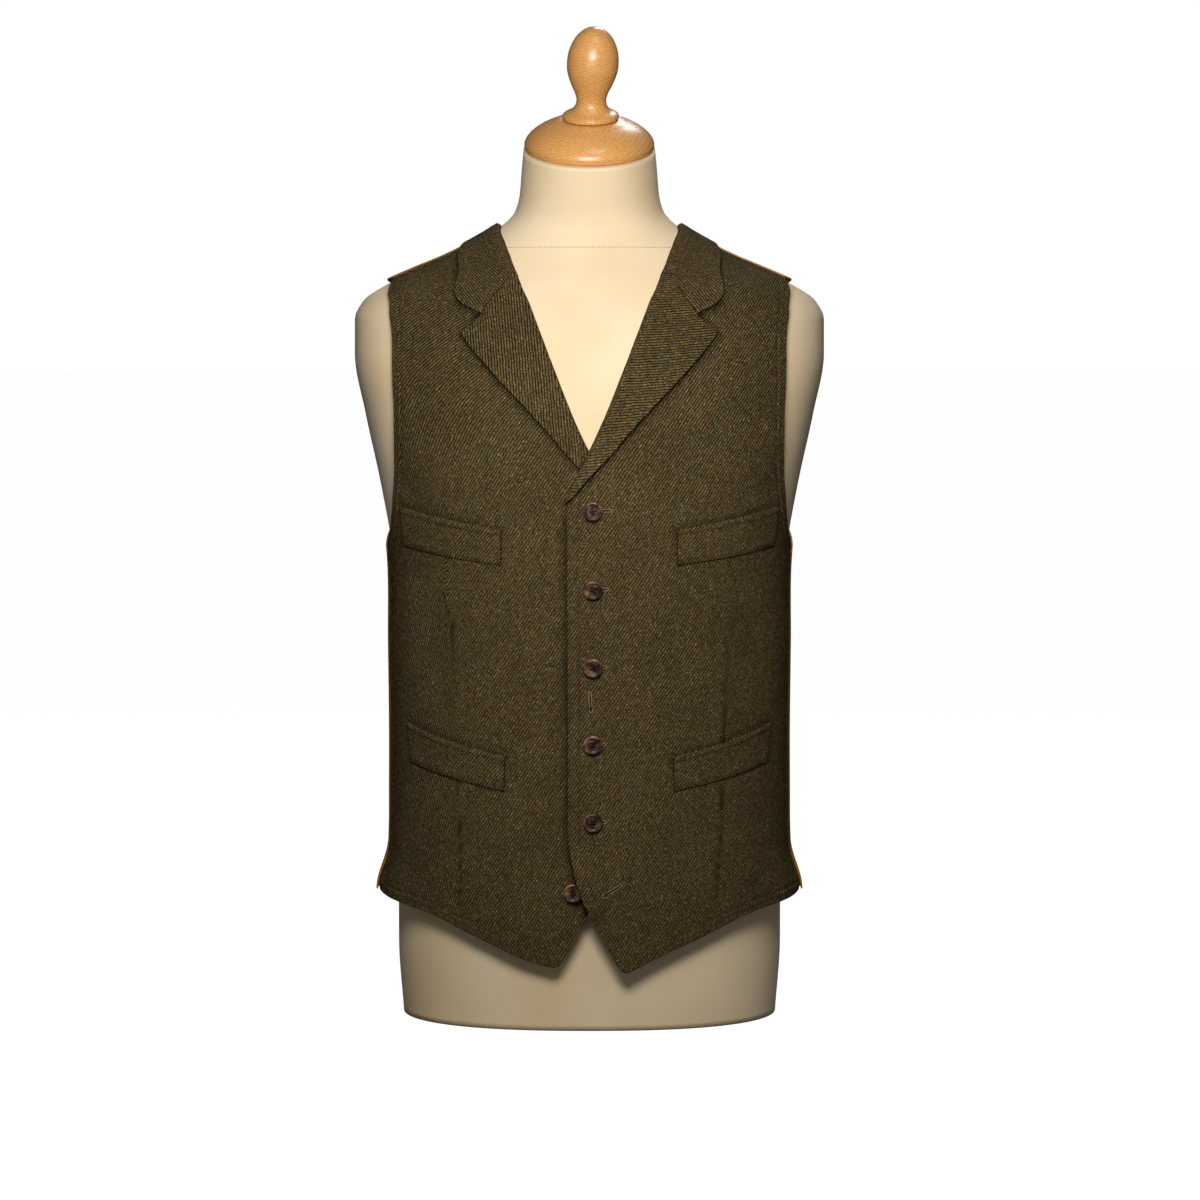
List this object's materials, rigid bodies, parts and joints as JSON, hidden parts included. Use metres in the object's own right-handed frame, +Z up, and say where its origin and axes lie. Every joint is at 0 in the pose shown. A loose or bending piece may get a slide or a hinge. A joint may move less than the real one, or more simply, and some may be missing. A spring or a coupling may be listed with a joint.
{
  "type": "suit waistcoat on dress form",
  "caption": "Notch-lapel waistcoat of flecked brown twill with a satin back, worn buttoned on a limbless tailor's form with a turned wood cap.",
  "frame": {"origin": "middle of the form's flat underside", "axes": "+Z up; -Y is the front of the garment; +X is the wearer's left"},
  "size_m": [0.39, 0.2671, 0.8158],
  "materials": {
    "twill_wool": "matt wool twill, brown with flecks",
    "satin_back": "gold satin",
    "jersey_cover": "cream jersey",
    "beech": "turned and lacquered",
    "horn_button": "mottled dark brown"
  },
  "bodies": {
    "root": {"form_torso": "jersey_cover", "neck_cap": "beech", "finial": "beech", "front_left": "twill_wool", "front_right": "twill_wool", "back_left": "satin_back", "back_right": "satin_back", "lapel_left": "twill_wool", "lapel_right": "twill_wool", "collar_left": "twill_wool", "collar_right": "twill_wool", "welt_upper_left": "twill_wool", "welt_upper_right": "twill_wool", "welt_lower_left": "twill_wool", "welt_lower_right": "twill_wool", "button_1": "horn_button", "button_2": "horn_button", "button_3": "horn_button", "button_4": "horn_button", "button_5": "horn_button", "button_6": "horn_button"}
  },
  "joints": []
}
